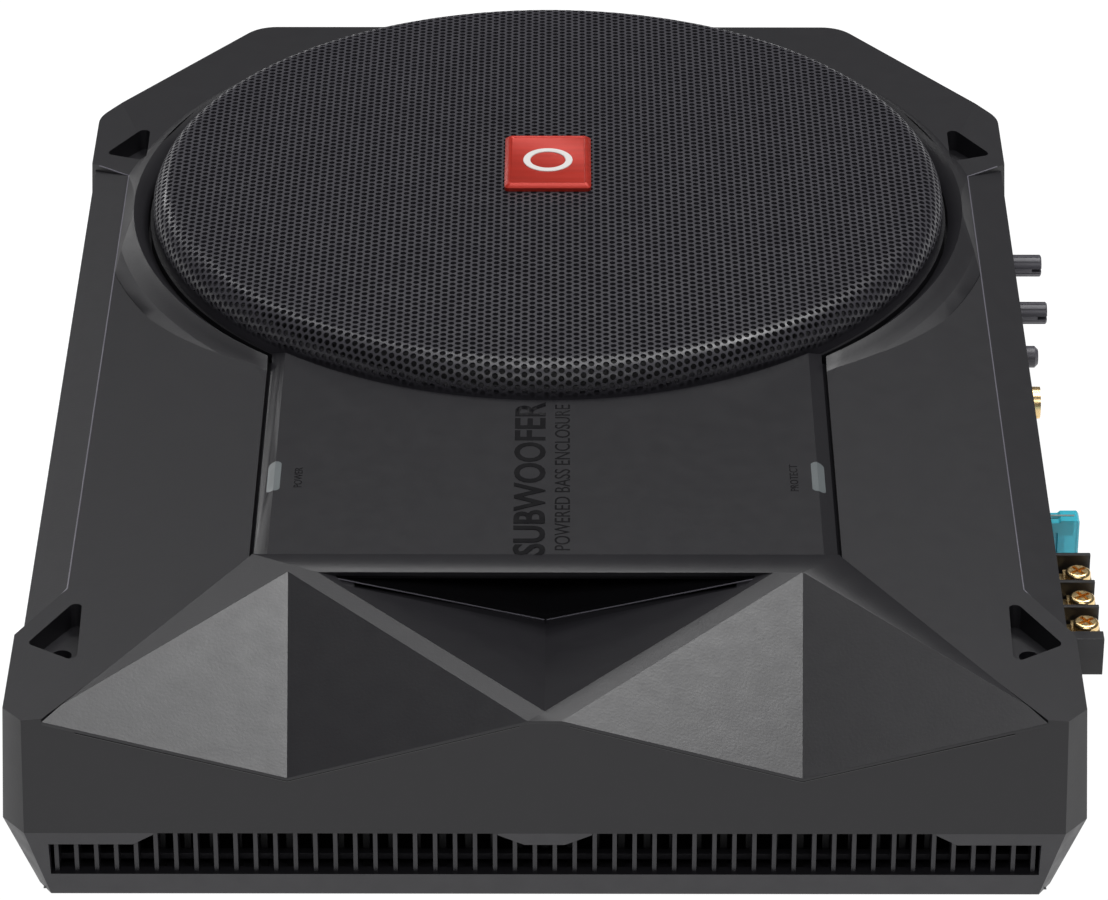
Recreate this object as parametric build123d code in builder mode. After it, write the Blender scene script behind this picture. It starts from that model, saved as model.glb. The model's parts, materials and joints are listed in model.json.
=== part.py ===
from build123d import *
import os
from math import cos, radians, sin, sqrt, tan

# A flat, powered subwoofer enclosure for a car: a moulded shell on a tray, with an 8 inch driver
# under a domed grille, an amplifier inside, and its controls and terminals on the +X side.
# +Z is up, the vent slots face -Y, and the origin is the middle of the tray's underside.

os.makedirs("parts", exist_ok=True)

# ---- enclosure, mm ----
SPLIT_Z = 20.0  # parting plane between tray and shell
HALF_WIDTH = 126.5
FRONT_Y = -174.0
BACK_Y = 176.5
DRAFT = 2.8  # degrees, shell walls
WALL = 3.0
ROOF_DROP = 4.5  # roof thickness, measured straight down
ROOF_Z = 58.0
CORNER_R = 10.0
FOOT_HALF_WIDTH = 119.0  # tray at the floor
FOOT_FRONT_Y = -170.0
FOOT_BACK_Y = 172.0
FLOOR = 3.0

# ---- grille and driver, mm ----
DRIVER_Y = 65.4
COLLAR_R = 111.0
COLLAR_Z = 60.0
SKIRT = ((2.0, 1.3), (4.5, 2.6), (8.0, 3.7))  # hollow ring outside the collar: how far out, how far down
SEAT_R = 107.3
SEAT_Z = 52.0
BASKET_HOLE_R = 95.5
MESH_R = 105.75
MESH_LOW_Z = 57.4
MESH_TOP_Z = 70.0
MESH_T = 1.0
SHOULDER_R = 7.0
CROWN_DROP = 2.2  # fall of the crown from its middle to the shoulder
BADGE_SIZE, BADGE_Y = (23.0, 29.6), 65.5
FLANGE_R = 103.4
SCREW_RING_R = 99.6
DRIVER_SCREWS = 8
POLE_R = 19.0
GAP_R = 21.8
FORMER_R = 19.5

# ---- side panel, mm ----
PANEL_X = 119.0  # outer face of the control panel
PANEL_T = 2.0
PANEL_LOW_Z, PANEL_HIGH_Z = 21.8, 44.8
PANEL_FRONT_Y, PANEL_BACK_Y = -130.0, 90.0
CONTROL_Z = 34.0
LEVEL_Y, CROSSOVER_Y, PHASE_Y, AUTO_Y = 76.0, 49.5, 25.7, 7.0
RCA_Y, RCA_Z, RCA_R = -9.3, (40.3, 26.7), 4.15
SPEAKER_IN_Y, REMOTE_Y, FUSE_Y = -31.0, -50.0, -70.5
SHAFT_R = 3.0
SHAFT_FIT = 0.05
LEVEL_TIP_X, CROSSOVER_TIP_X, PHASE_TIP_X = 134.4, 133.8, 129.6
BOARD_X, BOARD_T = 106.0, 1.6
BLOCK_X0, BLOCK_X1 = 110.0, 132.9
BLOCK_Y0, BLOCK_Y1 = -127.6, -88.6
BLOCK_LOW_Z, BLOCK_FLOOR_Z, BLOCK_TOP_Z = 33.9, 38.6, 44.0
TERMINAL_YS = (-95.6, -107.2, -118.4)
TERMINAL_X = 129.4

# ---- mounting holes through the corner pockets, mm ----
HOLE_X, HOLE_FRONT_Y, HOLE_BACK_Y = 114.0, -138.5, 101.5
HOLE_R = 2.4
POST_R = 5.4
POCKETS = {
    HOLE_FRONT_Y: (((121.7, -141.0), (110.0, -121.7), (109.2, -150.2)), 46.0),
    HOLE_BACK_Y: (((121.4, 97.2), (110.0, 113.0), (109.8, 91.5)), 52.0),
}

# ---- vent, mm ----
VENT_HALF_W = 115.6
VENT_LOW_Z, VENT_HIGH_Z, VENT_STEP_Z = 6.5, 19.5, 16.3
FINS, FIN_PITCH, FIN_T, FIN_DEPTH = 50, 4.66, 1.0, 7.0
FIN_Y = -170.1


def save(builder, label):
    """Name a finished piece and write it."""
    builder.part.label = label
    export_step(builder.part, f"parts/{label}.step")


def plane_through(a, b, c):
    """The plane of three points, with its normal pointing up."""
    normal = (Vector(*b) - Vector(*a)).cross(Vector(*c) - Vector(*a)).normalized()
    return Plane(origin=a, z_dir=normal if normal.Z > 0 else -normal)


def mirrored_x(points):
    """A closed outline from its +X half, listed from front to back."""
    return list(points) + [(-x, y) for x, y in reversed(points)]


def side_z(x, y):
    """Height of the shell's side surfaces, which fall outwards and rise to the back."""
    return 50.2 + 0.025 * (y + 166) + 0.082 * (125 - abs(x))


def strip_z(x, y):
    """Height of the long side facets outside the ridge."""
    return 52.3 + 0.0256 * (y + 120.8) - 0.267 * (abs(x) - 113.7)


def side_plane(side, drop, height):
    """A plane through height(x, y) on one side, lowered by drop."""
    spots = ((70 * side, -100), (120 * side, -100), (120 * side, 100))
    return plane_through(*[(x, y, height(x, y) - drop) for x, y in spots])


SHELL_OUTLINE = ((121.0, FRONT_Y), (HALF_WIDTH, -167.5), (HALF_WIDTH, 119.5), (84.0, BACK_Y))
FOOT_OUTLINE = ((116.0, FOOT_FRONT_Y), (FOOT_HALF_WIDTH, -165.5), (FOOT_HALF_WIDTH, 116.0), (79.0, FOOT_BACK_Y))


def shell_form(inset, drop):
    """The shell's outer shape, moved in by inset and with its roof lowered by drop."""
    with BuildPart() as form:
        with BuildSketch(Plane.XY.offset(SPLIT_Z)):
            Polygon(*mirrored_x(SHELL_OUTLINE), align=None)
            if inset:
                offset(amount=-inset, kind=Kind.INTERSECTION)
        extrude(amount=44, taper=DRAFT)
        uprights = form.edges().filter_by(lambda e: abs(e.tangent_at(0.5).Z) > 0.9)
        fillet(uprights.filter_by(lambda e: e.center().Y > 0), CORNER_R)
        for side in (-1, 1):
            split(bisect_by=side_plane(side, drop, side_z), keep=Keep.BOTTOM)
        split(bisect_by=Plane.XY.offset(ROOF_Z - drop), keep=Keep.BOTTOM)
    return form.part


def tray_form(inset, low):
    """The tray's outer shape, moved in by inset, from low up to the parting plane."""
    with BuildPart() as form:
        for z, outline in ((low, FOOT_OUTLINE), (SPLIT_Z, SHELL_OUTLINE)):
            with BuildSketch(Plane.XY.offset(z)):
                Polygon(*mirrored_x(outline), align=None)
                if inset:
                    offset(amount=-inset, kind=Kind.INTERSECTION)
        loft(ruled=True)
    return form.part


# ---- centre cover: a raised panel that opens into a faceted front ----
PANEL_EDGE_X, PANEL_FOOT_X = 66.5, 70.0
BEND_Y = -114.0  # where the panel turns down into the facets
COVER_T = 2.5
LIP_T = 0.7  # cover thickness over the shell's front wall
LIP_Y = -168.6
COVER_PLAN = ((117.7, -176.0), (PANEL_FOOT_X, -112.5), (PANEL_FOOT_X, DRIVER_Y - 60))
GROOVE_PLAN = ((119.65, -178.0), (PANEL_FOOT_X + 1.0, -113.27), (PANEL_FOOT_X + 1.0, DRIVER_Y - 60))
VALLEY = {"back": (61.2, -119.5, 57.2), "outer": (115.2, -171.3, 50.9), "low": (59.5, -173.4, 35.5),
          "inner": (5.7, -171.3, 50.9)}
SCOOP = {"side": (53.6, -119.3, 57.2), "tip": (0.0, -169.5, 51.1), "low": (0.0, -123.0, 44.5)}
MOUTH = ((-50.5, 54.6), (50.5, 54.6), (0.0, 44.4))
BROW = ((-53.0, 56.3), (53.0, 56.3), (0.0, 44.4))  # the mouth in front of the duct


def panel_z(y):
    return 58.0 + 0.0227 * (y - BEND_Y)


def band_z(y):
    return 58.0 + 0.124 * (y - BEND_Y)


def above(bottom_planes, drop, x_range):
    """The space above all the given planes, lowered by drop: what a facet pair cuts away."""
    with BuildPart() as space:
        with BuildSketch(Plane.XY.offset(0)):
            Polygon((x_range[0], -185), (x_range[1], -185), (x_range[1], -119.3), (x_range[0], -119.3), align=None)
        extrude(amount=90)
        for plane in bottom_planes:
            split(bisect_by=plane.moved(Location((0, 0, -drop))), keep=Keep.TOP)
    return space.part


def cover_form(drop, plan=COVER_PLAN):
    """All that lies under the cover's outer faces, lowered by drop, within a plan."""
    with BuildPart() as form:
        with BuildSketch(Plane.XY.offset(15)):
            Polygon(*mirrored_x([p for p in plan if p[1] <= BEND_Y] + [(plan[1][0], plan[1][1])]), align=None)
        extrude(amount=60)
        split(bisect_by=plane_through(*[(x, y, band_z(y) - drop) for x, y in ((0, 0), (50, 0), (0, -99))]),
              keep=Keep.BOTTOM)
        for side in (-1, 1):
            back, outer, low, inner = [(x * side, y, z) for x, y, z in VALLEY.values()]
            faces = (plane_through(back, outer, low), plane_through(back, inner, low))
            add(above(faces, drop, sorted((0, 130 * side))), mode=Mode.SUBTRACT)
        tip, low = SCOOP["tip"], SCOOP["low"]
        faces = [plane_through((side * SCOOP["side"][0], *SCOOP["side"][1:]), tip, low) for side in (-1, 1)]
        add(above(faces, drop, (-60, 60)), mode=Mode.SUBTRACT)
    with BuildPart() as panel:
        with BuildSketch(Plane.XY.offset(15)):
            Polygon(*mirrored_x((plan[1], plan[2])), align=None)
        extrude(amount=60)
        split(bisect_by=plane_through(*[(x, y, panel_z(y) - drop) for x, y in ((0, 0), (50, 0), (0, -99))]),
              keep=Keep.BOTTOM)
        for side in (-1, 1):
            spots = ((PANEL_EDGE_X, 0, 0), (PANEL_EDGE_X, -90, 0), (PANEL_FOOT_X, 0, 2.0))
            spots = [(x * side, y, panel_z(y) - fall - drop) for x, y, fall in spots]
            split(bisect_by=plane_through(*spots), keep=Keep.BOTTOM)
        split(bisect_by=plane_through(*[(x, y, band_z(y) - drop) for x, y in ((0, 0), (50, 0), (0, -99))]),
              keep=Keep.BOTTOM)
    with BuildPart() as whole:
        add(form.part)
        add(panel.part)
        # the front edge follows the draft of the shell's front wall, half a millimetre proud of it
        lean = tan(radians(DRAFT))
        split(bisect_by=Plane(origin=(0, FRONT_Y - 0.5, SPLIT_Z), z_dir=(0, -1, lean)), keep=Keep.BOTTOM)
    return whole.part


def cover_space(clearance, plan):
    """The room the cover needs: all above its underside, with clearance, in a plan."""
    with BuildPart() as space:
        with BuildSketch(Plane.XY.offset(25)):
            Polygon(*mirrored_x(plan), align=None)
        extrude(amount=50)
        add(cover_form(COVER_T + clearance, plan), mode=Mode.SUBTRACT)
        with Locations((0, -176.5, 50)):
            Box(300, 2 * (LIP_Y + 176.5), 80, mode=Mode.SUBTRACT)
    with BuildPart() as lip_space:
        with Locations((0, (LIP_Y - 180) / 2, 60)):
            Box(236, 180 + LIP_Y, 60)
        with BuildSketch(Plane.XY.offset(25)):
            Polygon(*mirrored_x(plan), align=None)
        extrude(amount=70, mode=Mode.INTERSECT)
        add(cover_form(LIP_T + clearance, plan), mode=Mode.SUBTRACT)
    with BuildPart() as both:
        add(space.part)
        add(lip_space.part)
    return both.part


BOSSES = [(x, y) for x in (-57, 57) for y in (-58, -102)]
LED_Y, LED_SIZE, LED_X = -77.3, (3.4, 13.4), 66.6


def led_prism(side, shrink=0.0):
    """An upright prism of an indicator lens's outline, which straddles the bevel of the panel's edge."""
    with BuildPart() as prism:
        with BuildSketch(Plane.XY.offset(52)):
            with Locations((side * LED_X, LED_Y)):
                RectangleRounded(LED_SIZE[0] - shrink, LED_SIZE[1] - shrink, 1.3 - shrink / 2)
        extrude(amount=10)
    return prism.part


def disc(radius, z0, z1, y=DRIVER_Y):
    """A round block about the driver's axis."""
    with BuildPart() as block:
        with BuildSketch(Plane.XY.offset(z0)):
            with Locations((0, y)):
                Circle(radius)
        extrude(amount=z1 - z0)
    return block.part


with BuildPart() as center_cover:
    add(cover_form(0))
    add(cover_form(COVER_T), mode=Mode.SUBTRACT)
    with BuildPart(mode=Mode.PRIVATE) as lip:
        add(cover_form(0))
        add(cover_form(LIP_T), mode=Mode.SUBTRACT)
        with Locations((0, LIP_Y - 20, 40)):
            Box(300, 40, 60, mode=Mode.INTERSECT)
    with Locations((0, LIP_Y - 20, 40)):
        Box(300, 40, 60, mode=Mode.SUBTRACT)
    add(lip.part)
    add(disc(SEAT_R - 0.2, 10, 90), mode=Mode.SUBTRACT)
    # screw bosses under the panel
    for x, y in BOSSES:
        with BuildSketch(Plane.XY.offset(47)):
            with Locations((x, y)):
                Circle(3.0)
                Circle(1.2, mode=Mode.SUBTRACT)
        extrude(amount=panel_z(y) - 47 - 1.0)
    # the port's mouth goes on through the skin, facing forwards
    with BuildSketch(Plane.XZ.offset(123.5)):
        Polygon(*MOUTH, align=None)
    extrude(amount=-12, mode=Mode.SUBTRACT)
    with BuildSketch(Plane.XZ.offset(123.5)):
        Polygon(*BROW, align=None)
    extrude(amount=-5.8, mode=Mode.SUBTRACT)
    for side in (-1, 1):
        add(led_prism(side), mode=Mode.SUBTRACT)
save(center_cover, "center_cover")


def pocket_prism(corners, side, grow, z0, z1):
    """A three-sided prism with rounded corners at one corner pocket."""
    with BuildPart() as prism:
        with BuildSketch(Plane.XY.offset(z0)):
            Polygon(*[(x * side, y) for x, y in corners], align=None)
            offset(amount=grow, kind=Kind.INTERSECTION)
            fillet(vertices(), 1.6)
        extrude(amount=z1 - z0)
    return prism.part


def post(x, y, radius, z0, z1):
    with BuildPart() as column:
        with BuildSketch(Plane.XY.offset(z0)):
            with Locations((x, y)):
                Circle(radius)
        extrude(amount=z1 - z0)
    return column.part


RIDGE_X = 114.0
STRIP_PLAN = ((RIDGE_X, -118.8), (127.5, -141.1), (133.0, -141.1), (133.0, 99.0), (RIDGE_X, 83.6))
SIDES = (-1, 1)
CASE_SCREWS = [(x, y) for x in (-101, 101) for y in (-156, -12)] + [(-62, 160), (62, 160)]
JOIN_Z = 8.0  # where the tray's screw posts meet the shell's
HOLES = [(x, y) for x in (-HOLE_X, HOLE_X) for y in (HOLE_FRONT_Y, HOLE_BACK_Y)]

with BuildPart() as top_shell:
    add(shell_form(0, 0))
    add(shell_form(WALL, ROOF_DROP), mode=Mode.SUBTRACT)
    # the collar round the grille: a rim, and a skirt that runs out onto the roof
    with BuildPart(mode=Mode.PRIVATE) as collar:
        with BuildSketch(Plane.XZ):
            with BuildLine():
                Polyline((0, 50), (COLLAR_R + SKIRT[-1][0], 50),
                         *[(COLLAR_R + out, COLLAR_Z - down) for out, down in reversed(SKIRT)],
                         (COLLAR_R, COLLAR_Z), (0, COLLAR_Z), close=True)
            make_face()
        revolve(axis=Axis.Z)
    with BuildPart(mode=Mode.PRIVATE) as skirt:
        add(collar.part.moved(Location((0, DRIVER_Y, 0))))
        for side in SIDES:
            spots = ((RIDGE_X, -20), (RIDGE_X, 120), (RIDGE_X - 10, 50))
            rise = (0, 0, 10)
            split(bisect_by=plane_through(*[(x * side, y, strip_z(RIDGE_X, y) + up)
                                            for (x, y), up in zip(spots, rise)]), keep=Keep.BOTTOM)
        with BuildSketch(Plane.XY.offset(40)):
            Rectangle(2 * 118, 600)
        extrude(amount=40, mode=Mode.INTERSECT)
        split(bisect_by=Plane.XZ.offset(-172.5), keep=Keep.TOP)
    add(skirt.part)
    add(disc(112.0, 48.0, 57.0))
    for y, (corners, floor_z) in POCKETS.items():
        for side in SIDES:
            add(pocket_prism(corners, side, 2.4, floor_z - 1.5, floor_z + 4))
            add(post(side * HOLE_X, y, POST_R, SPLIT_Z, floor_z))
    for x, y in CASE_SCREWS:
        add(post(x, y, 4.0, JOIN_Z, min(side_z(x, y), ROOF_Z) - 2))
    # frame behind the control panel's rim
    with Locations((HALF_WIDTH - 5.5, (PANEL_FRONT_Y + PANEL_BACK_Y) / 2, 34.3)):
        Box(6, PANEL_BACK_Y - PANEL_FRONT_Y + 8, 25.2)
    # long facets on both sides
    for side in SIDES:
        for plane in (side_plane(side, 0, strip_z),
                      plane_through((123.3 * side, -138, 49.3), (123.8 * side, 90, 54.5), (126.5 * side, -24, 22))):
            with BuildPart(mode=Mode.PRIVATE) as strip:
                with BuildSketch(Plane.XY.offset(SPLIT_Z + 0.6)):
                    Polygon(*[(x * side, y) for x, y in STRIP_PLAN], align=None)
                extrude(amount=60)
                split(bisect_by=plane, keep=Keep.TOP)
            add(strip.part, mode=Mode.SUBTRACT)
    # grille groove, seat and the hole for the basket
    with BuildPart(mode=Mode.PRIVATE) as groove:
        with BuildSketch(Plane.XZ):
            with BuildLine():
                Polyline((0, SEAT_Z), (SEAT_R, SEAT_Z), (SEAT_R, COLLAR_Z - 3.5), (COLLAR_R + 1.2, COLLAR_Z + 1.2),
                         (0, COLLAR_Z + 1.2), close=True)
            make_face()
        revolve(axis=Axis.Z)
    add(groove.part.moved(Location((0, DRIVER_Y, 0))), mode=Mode.SUBTRACT)
    add(disc(BASKET_HOLE_R, 30, 60), mode=Mode.SUBTRACT)
    with Locations((0, DRIVER_Y, 50)):
        with PolarLocations(SCREW_RING_R, DRIVER_SCREWS, start_angle=22.5):
            Cylinder(2.1, 30, mode=Mode.SUBTRACT)
    add(cover_space(0.2, GROOVE_PLAN), mode=Mode.SUBTRACT)
    for x, y in BOSSES:
        add(post(x, y, 3.3, 40, 62), mode=Mode.SUBTRACT)
    with BuildSketch(Plane.XZ.offset(124)):
        Polygon(*[(x * 1.06, z + 0.4) for x, z in MOUTH[:2]], (0, 42.4), align=None)
    extrude(amount=-34, mode=Mode.SUBTRACT)
    # corner pockets and their screw holes
    for y, (corners, floor_z) in POCKETS.items():
        for side in SIDES:
            add(pocket_prism(corners, side, 0, floor_z, 70), mode=Mode.SUBTRACT)
            add(post(side * HOLE_X, y, HOLE_R, 10, 70), mode=Mode.SUBTRACT)
    for x, y in CASE_SCREWS:
        add(post(x, y, 1.5, 0, 24), mode=Mode.SUBTRACT)
    for side in SIDES:
        with Locations((side * 66.5, LED_Y, 54)):
            Box(2.4, 6, 8, mode=Mode.SUBTRACT)
    # window for the controls
    with Locations((HALF_WIDTH, (PANEL_FRONT_Y + PANEL_BACK_Y) / 2, (PANEL_LOW_Z + PANEL_HIGH_Z) / 2)):
        Box(30, PANEL_BACK_Y - PANEL_FRONT_Y, PANEL_HIGH_Z - PANEL_LOW_Z, mode=Mode.SUBTRACT)
save(top_shell, "top_shell")

PADS = [(x, y) for x in (-92, 92) for y in (-120, 95)]
PAD_SIZE = (26.0, 40.0, 1.2)
GASKET_W = 2.0
BOARD_SCREWS = [(x, y) for x in (-92, 88) for y in (-138, -48)]


def outline_prism(inset, z0, z1):
    """A prism over the enclosure's outline at the parting plane, moved in by inset."""
    with BuildPart() as prism:
        with BuildSketch(Plane.XY.offset(z0)):
            Polygon(*mirrored_x(SHELL_OUTLINE), align=None)
            offset(amount=-inset, kind=Kind.INTERSECTION)
        extrude(amount=z1 - z0)
    return prism.part


with BuildPart() as bottom_tray:
    add(tray_form(0, 0))
    with BuildPart(mode=Mode.PRIVATE) as hollow:
        add(tray_form(WALL, 0))
        split(bisect_by=Plane.XY.offset(FLOOR), keep=Keep.TOP)
    add(hollow.part, mode=Mode.SUBTRACT)
    for x, y in HOLES:
        add(post(x, y, POST_R, 1, SPLIT_Z))
    for x, y in CASE_SCREWS:
        add(post(x, y, 4.0, 1, JOIN_Z))
    for x, y in BOARD_SCREWS:
        add(post(x, y, 3.0, 1, FLOOR + 4))
    # two vent slots across the front, over a sill, with a tongue between them and steps at their ends
    with BuildSketch(Plane.XZ.offset(158)):
        for side in SIDES:
            slot = ((0, VENT_LOW_Z), (VENT_HALF_W, VENT_LOW_Z), (VENT_HALF_W, VENT_STEP_Z), (96, VENT_STEP_Z),
                    (91, VENT_HIGH_Z), (91, SPLIT_Z + 1), (11, SPLIT_Z + 1), (11, VENT_HIGH_Z), (4.7, VENT_STEP_Z),
                    (0, VENT_STEP_Z))
            Polygon(*[(x * side, z) for x, z in slot], align=None)
    extrude(amount=24, mode=Mode.SUBTRACT)
    for x, y in HOLES:
        add(post(x, y, HOLE_R, -1, SPLIT_Z + 1), mode=Mode.SUBTRACT)
    for x, y in CASE_SCREWS:
        add(post(x, y, 1.6, -1, SPLIT_Z), mode=Mode.SUBTRACT)
        add(post(x, y, 3.2, -1, 2.4), mode=Mode.SUBTRACT)
    for x, y in BOARD_SCREWS:
        add(post(x, y, 1.1, 2, SPLIT_Z), mode=Mode.SUBTRACT)
    for x, y in PADS:
        with Locations((x, y, 0)):
            Box(*PAD_SIZE[:2], 2 * PAD_SIZE[2], mode=Mode.SUBTRACT)
save(bottom_tray, "bottom_tray")

with BuildPart() as shell_gasket:
    # a closed loop of square cord just inside the walls
    add(outline_prism(WALL + 1.4, VENT_HIGH_Z + 0.1, VENT_HIGH_Z + 2.1))
    add(outline_prism(WALL + 1.4 + GASKET_W, VENT_HIGH_Z, VENT_HIGH_Z + 3), mode=Mode.SUBTRACT)
save(shell_gasket, "shell_gasket")

with BuildPart() as foot_pads:
    for x, y in PADS:
        with BuildSketch():
            with Locations((x, y)):
                RectangleRounded(PAD_SIZE[0] - 0.4, PAD_SIZE[1] - 0.4, 4)
        extrude(amount=PAD_SIZE[2])
save(foot_pads, "foot_pads")

with BuildPart() as vent_fins:
    # one comb: upright fins on a low bar, held under the shell's front wall
    for i in range(FINS):
        with Locations(((i - (FINS - 1) / 2) * FIN_PITCH, FIN_Y + FIN_DEPTH / 2, (VENT_LOW_Z + VENT_HIGH_Z) / 2)):
            Box(FIN_T, FIN_DEPTH, VENT_HIGH_Z - VENT_LOW_Z)
    with Locations((0, FIN_Y + FIN_DEPTH - 1, VENT_LOW_Z + 0.8)):
        Box(2 * VENT_HALF_W - 0.4, 2, 1.6)
    with Locations((0, FIN_Y + FIN_DEPTH - 1, VENT_HIGH_Z - 0.8)):
        Box(2 * VENT_HALF_W - 0.4, 2, 1.6)
save(vent_fins, "vent_fins")


def cap_screw(x, y, head_r, head_h, shank_r, top_z, length, up=1):
    """A plain cap screw on the Z axis: its head's bearing face is at top_z, and its shank runs the other way."""
    with BuildPart() as screw:
        with BuildSketch(Plane.XY.offset(top_z)):
            with Locations((x, y)):
                Circle(head_r)
                RegularPolygon(head_r * 0.5, 6, mode=Mode.SUBTRACT)
        extrude(amount=head_h * up)
        with BuildSketch(Plane.XY.offset(top_z)):
            with Locations((x, y)):
                Circle(head_r)
        extrude(amount=head_h * 0.4 * up)
        with BuildSketch(Plane.XY.offset(top_z)):
            with Locations((x, y)):
                Circle(shank_r)
        extrude(amount=-length * up)
    return screw.part


with BuildPart() as case_screws:
    for x, y in CASE_SCREWS:
        add(cap_screw(x, y, 2.8, 2.0, 1.45, 2.4, 16.0, up=-1))
save(case_screws, "case_screws")

# ---- grille ----


def dome(radius, top_z):
    """All that lies under the grille's outer face: a skirt, a round shoulder and a shallow crown."""
    shoulder_in = radius - SHOULDER_R
    rise = CROWN_DROP
    crown_r = (shoulder_in ** 2 + rise ** 2) / (2 * rise)
    crown_low = top_z - rise
    crown_mid = top_z - crown_r + sqrt(crown_r ** 2 - (shoulder_in / 2) ** 2)
    bend = (shoulder_in + SHOULDER_R * cos(radians(45)), crown_low - SHOULDER_R * (1 - sin(radians(45))))
    with BuildPart() as solid:
        with BuildSketch(Plane.XZ):
            with BuildLine():
                Polyline((0, top_z), (0, MESH_LOW_Z), (radius, MESH_LOW_Z), (radius, crown_low - SHOULDER_R))
                ThreePointArc((radius, crown_low - SHOULDER_R), bend, (shoulder_in, crown_low))
                ThreePointArc((shoulder_in, crown_low), (shoulder_in / 2, crown_mid), (1.0, top_z))
                Line((1.0, top_z), (0, top_z))
            make_face()
        revolve(axis=Axis.Z)
    return solid.part.moved(Location((0, DRIVER_Y, 0)))


with BuildPart() as grille_mesh:
    add(dome(MESH_R, MESH_TOP_Z))
    add(dome(MESH_R - MESH_T, MESH_TOP_Z - MESH_T), mode=Mode.SUBTRACT)
save(grille_mesh, "grille_mesh")

with BuildPart() as grille_frame:
    # a stiff ring under the mesh's hem, standing on the seat outside the driver's flange
    with BuildSketch(Plane.XY.offset(SEAT_Z)):
        with Locations((0, DRIVER_Y)):
            Circle(MESH_R + 0.8)
            Circle(FLANGE_R + 0.3, mode=Mode.SUBTRACT)
    extrude(amount=MESH_LOW_Z - SEAT_Z)
save(grille_frame, "grille_frame")

with BuildPart() as badge_plate:
    with BuildSketch(Plane.XY.offset(MESH_TOP_Z)):
        with Locations((0, BADGE_Y)):
            RectangleRounded(*BADGE_SIZE, 1.2)
    extrude(amount=2.0)
    chamfer(badge_plate.faces().sort_by(Axis.Z)[-1].edges(), 0.9)
save(badge_plate, "badge_plate")

# ---- driver ----
FLANGE_Z = SEAT_Z + 2.4
TOP_PLATE_Z0, TOP_PLATE_Z1 = 19.6, 24.6
MAGNET_Z0, YOKE_Z0 = 9.8, 4.8
SHELF_Z = 33.0


def turned(points):
    """A solid of revolution about the driver's axis from half-section points (radius, height)."""
    with BuildPart() as solid:
        with BuildSketch(Plane.XZ):
            with BuildLine():
                Polyline(*points, close=True)
            make_face()
        revolve(axis=Axis.Z)
    return solid.part.moved(Location((0, DRIVER_Y, 0)))


with BuildPart() as woofer_basket:
    add(turned(((FLANGE_R, SEAT_Z), (FLANGE_R, FLANGE_Z), (89.0, FLANGE_Z), (89.0, 50.0), (64.0, SHELF_Z),
                (56.0, SHELF_Z), (56.0, SHELF_Z - 2), (47.0, TOP_PLATE_Z1 + 2), (34.0, TOP_PLATE_Z1 + 2),
                (34.0, TOP_PLATE_Z1), (50.0, TOP_PLATE_Z1), (58.0, SHELF_Z - 4), (66.0, SHELF_Z - 3),
                (94.0, 48.5), (94.0, SEAT_Z))))
    # six windows between the arms
    with BuildPart(mode=Mode.PRIVATE) as windows:
        with BuildSketch(Plane.XY.offset(SHELF_Z - 6)):
            with PolarLocations(0, 6, start_angle=30):
                with Locations((78.0, 0)):
                    RectangleRounded(17, 52, 4)
        extrude(amount=16)
    add(windows.part.moved(Location((0, DRIVER_Y, 0))), mode=Mode.SUBTRACT)
    with Locations((0, DRIVER_Y, 30)):
        with PolarLocations(SCREW_RING_R, DRIVER_SCREWS, start_angle=22.5):
            Cylinder(2.2, 60, mode=Mode.SUBTRACT)
save(woofer_basket, "woofer_basket")

with BuildPart() as woofer_screws:
    for i in range(DRIVER_SCREWS):
        angle = radians(22.5 + 360 / DRIVER_SCREWS * i)
        x, y = SCREW_RING_R * cos(angle), DRIVER_Y + SCREW_RING_R * sin(angle)
        add(cap_screw(x, y, 3.6, 2.4, 2.0, FLANGE_Z, 12.0))
save(woofer_screws, "woofer_screws")

with BuildPart() as woofer_gasket:
    add(turned(((FLANGE_R, FLANGE_Z), (FLANGE_R, FLANGE_Z + 2.2), (95.4, FLANGE_Z + 2.2), (95.4, FLANGE_Z))))
    with Locations((0, DRIVER_Y, 56)):
        with PolarLocations(SCREW_RING_R, DRIVER_SCREWS, start_angle=22.5):
            Cylinder(3.7, 8, mode=Mode.SUBTRACT)
save(woofer_gasket, "woofer_gasket")

with BuildPart() as motor_yoke:
    # back plate and pole in one turned piece
    add(turned(((0, YOKE_Z0), (48, YOKE_Z0), (50, YOKE_Z0 + 2), (50, MAGNET_Z0), (POLE_R, MAGNET_Z0),
                (POLE_R, TOP_PLATE_Z1), (0, TOP_PLATE_Z1))))
    add(disc(6.0, YOKE_Z0 - 1, TOP_PLATE_Z1 + 1), mode=Mode.SUBTRACT)
save(motor_yoke, "motor_yoke")

with BuildPart() as magnet:
    add(turned(((27, MAGNET_Z0), (54, MAGNET_Z0), (54, TOP_PLATE_Z0), (27, TOP_PLATE_Z0))))
save(magnet, "magnet")

with BuildPart() as top_plate:
    add(turned(((GAP_R, TOP_PLATE_Z0), (50, TOP_PLATE_Z0), (50, TOP_PLATE_Z1), (GAP_R, TOP_PLATE_Z1))))
save(top_plate, "top_plate")

COIL_Z0, COIL_Z1, FORMER_Z1 = 15.2, 29.0, 38.4
CONE_EDGE_R, CONE_EDGE_Z = 79.0, 53.4

with BuildPart() as coil_former:
    add(turned(((FORMER_R, COIL_Z0), (FORMER_R + 0.35, COIL_Z0), (FORMER_R + 0.35, FORMER_Z1),
                (FORMER_R, FORMER_Z1))))
save(coil_former, "coil_former")

with BuildPart() as voice_coil:
    add(turned(((FORMER_R + 0.35, COIL_Z0), (FORMER_R + 1.3, COIL_Z0), (FORMER_R + 1.3, COIL_Z1),
                (FORMER_R + 0.35, COIL_Z1))))
save(voice_coil, "voice_coil")

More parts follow.
